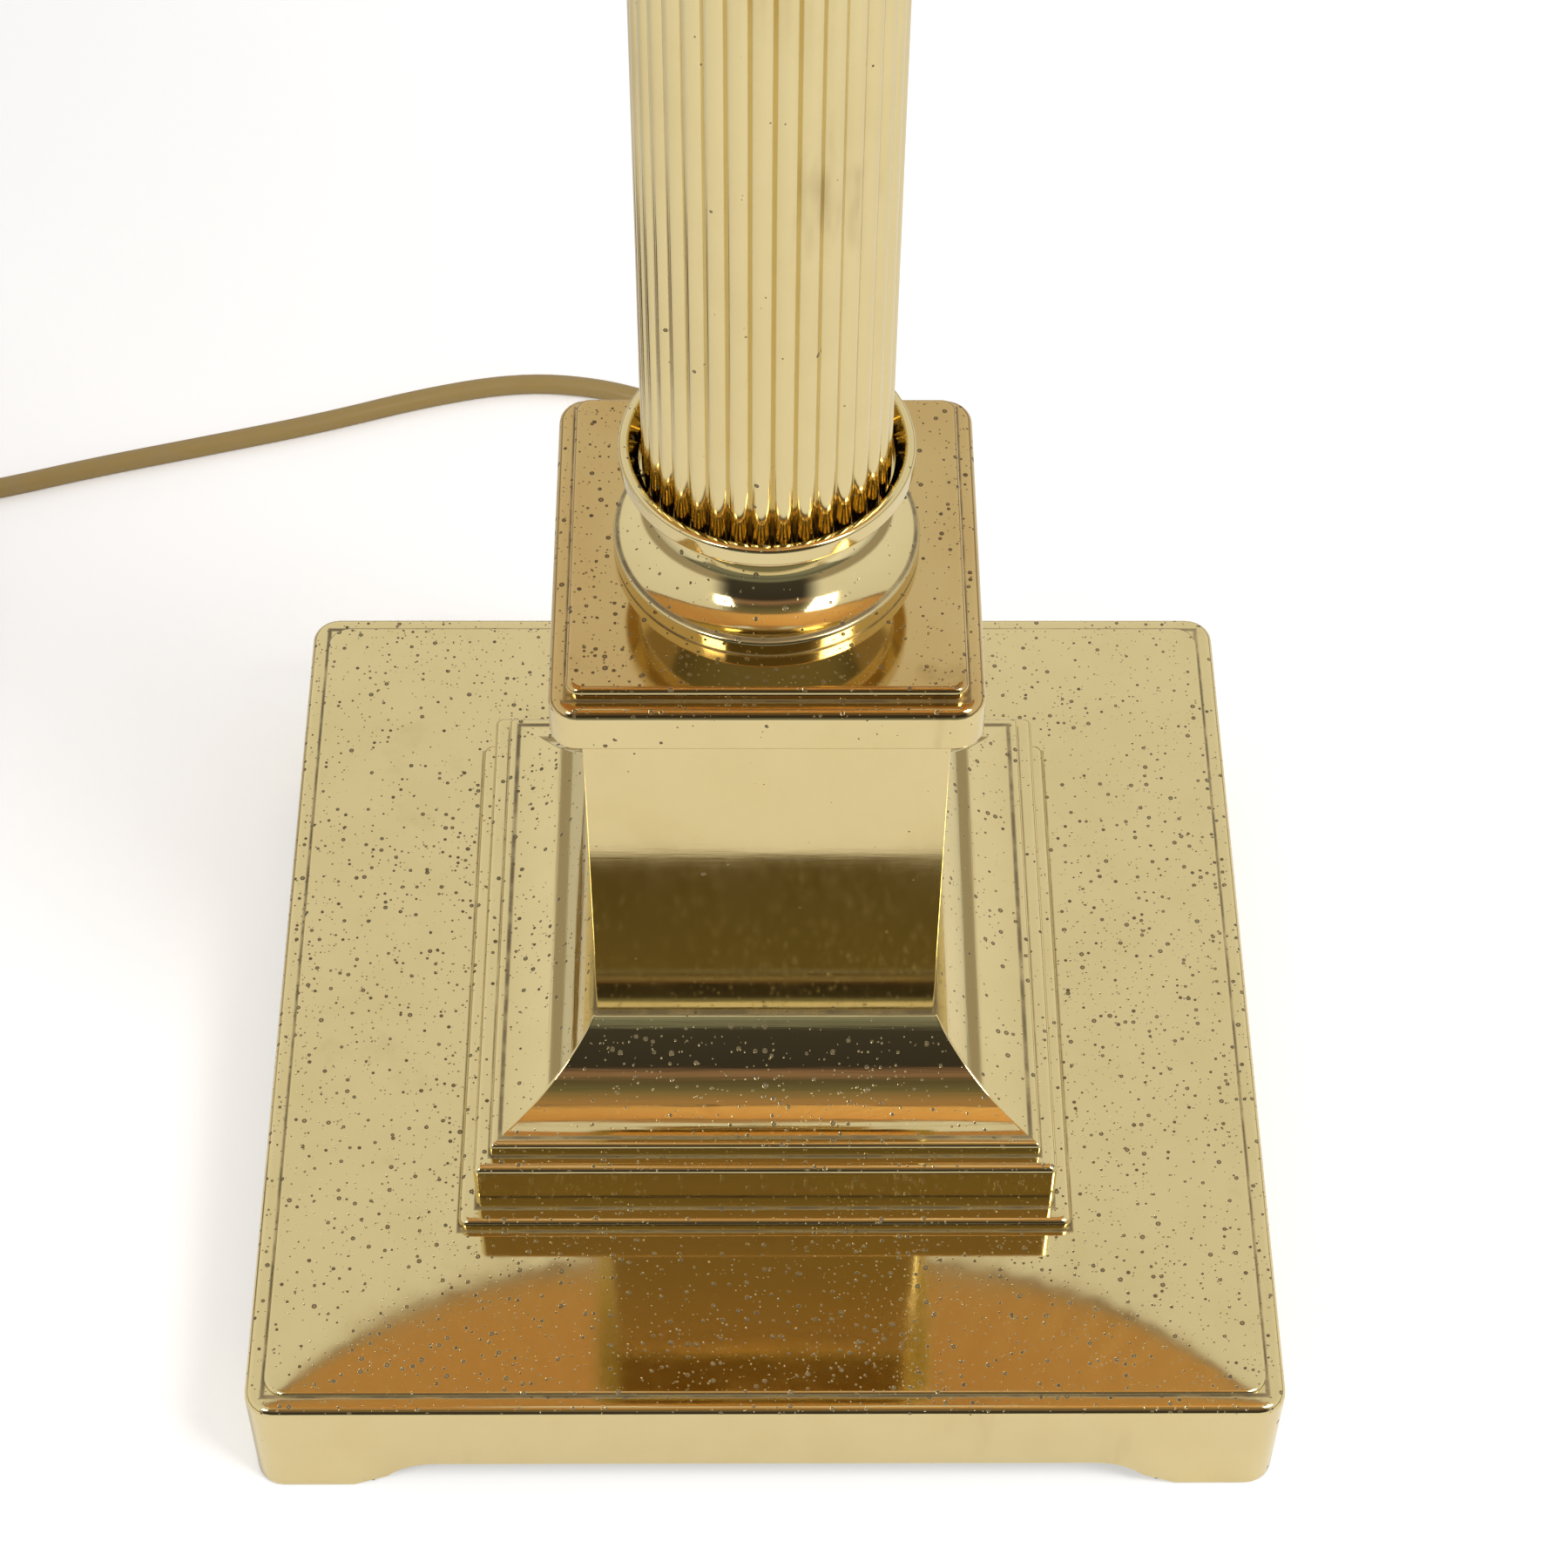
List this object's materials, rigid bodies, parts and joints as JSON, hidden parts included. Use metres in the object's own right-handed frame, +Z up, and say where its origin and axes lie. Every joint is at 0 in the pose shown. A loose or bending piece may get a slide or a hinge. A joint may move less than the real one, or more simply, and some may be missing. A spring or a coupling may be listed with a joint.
{
  "type": "column table lamp",
  "caption": "Brass column table lamp: square footed base, plinth and box, reeded column, push-switch lampholder, conical pleated shade, flex with plug.",
  "frame": {"origin": "on the surface the lamp stands on, under the axis of the column", "axes": "+Z up along the column, -Y to the front, the flex leaves the base at the back, +Y"},
  "size_m": [0.5446, 0.4722, 0.83],
  "materials": {
    "brass": "polished lacquered brass, lightly pitted and scratched",
    "bright_brass": "turned",
    "steel": "zinc plated",
    "wire": "painted wire",
    "felt": "felt",
    "ivory": "satin",
    "ceramic": "glazed porcelain",
    "shade_fabric": "pleated cloth",
    "shade_braid": "braid",
    "black_rubber": "moulded",
    "gold_flex": "satin gold PVC sheath",
    "brown_core": "satin",
    "blue_core": "satin",
    "green_core": "satin",
    "plug_plastic": "gloss"
  },
  "bodies": {
    "lamp": {"foot_pads": "felt", "base_plate": "brass", "ballast_plate": "steel", "plinth": "brass", "dado_box": "brass", "cap_moulding": "brass", "lower_collar": "brass", "column_tube": "brass", "centring_discs": "steel", "upper_collar": "brass", "abacus": "brass", "neck": "brass", "centre_tube": "steel", "tube_washer": "steel", "tube_nut": "steel", "holder_cap": "brass", "holder_shell": "brass", "holder_insert": "ceramic", "socket_thread": "bright_brass", "centre_contact": "bright_brass", "shade_ring": "brass", "cord_bush": "black_rubber", "inner_flex": "gold_flex", "flex_clip": "black_rubber", "clip_screws": "steel", "core_live": "brown_core", "core_neutral": "blue_core", "core_earth": "green_core", "earth_tag": "steel", "earth_screw": "bright_brass", "flex_run": "gold_flex", "flex_coil": "gold_flex", "flex_tail": "gold_flex", "plug_cover": "plug_plastic", "plug_base": "plug_plastic", "plug_pins": "bright_brass", "plug_screw": "steel"},
    "shade": {"shade_gimbal": "wire", "shade_bottom_ring": "wire", "shade_top_ring": "wire", "shade_cover": "shade_fabric", "shade_trim_bottom": "shade_braid", "shade_trim_top": "shade_braid"},
    "switch": {"switch_bar": "ivory"}
  },
  "joints": [
    {"name": "shade_turn", "type": "hinge", "parent": "lamp", "child": "shade", "pos_m": [0, 0, 0.592], "axis": [0, 0, 1], "continuous": true},
    {"name": "switch_push", "type": "slide", "parent": "lamp", "child": "switch", "axis": [1, 0, 0], "range_m": [0, 0.006]}
  ]
}
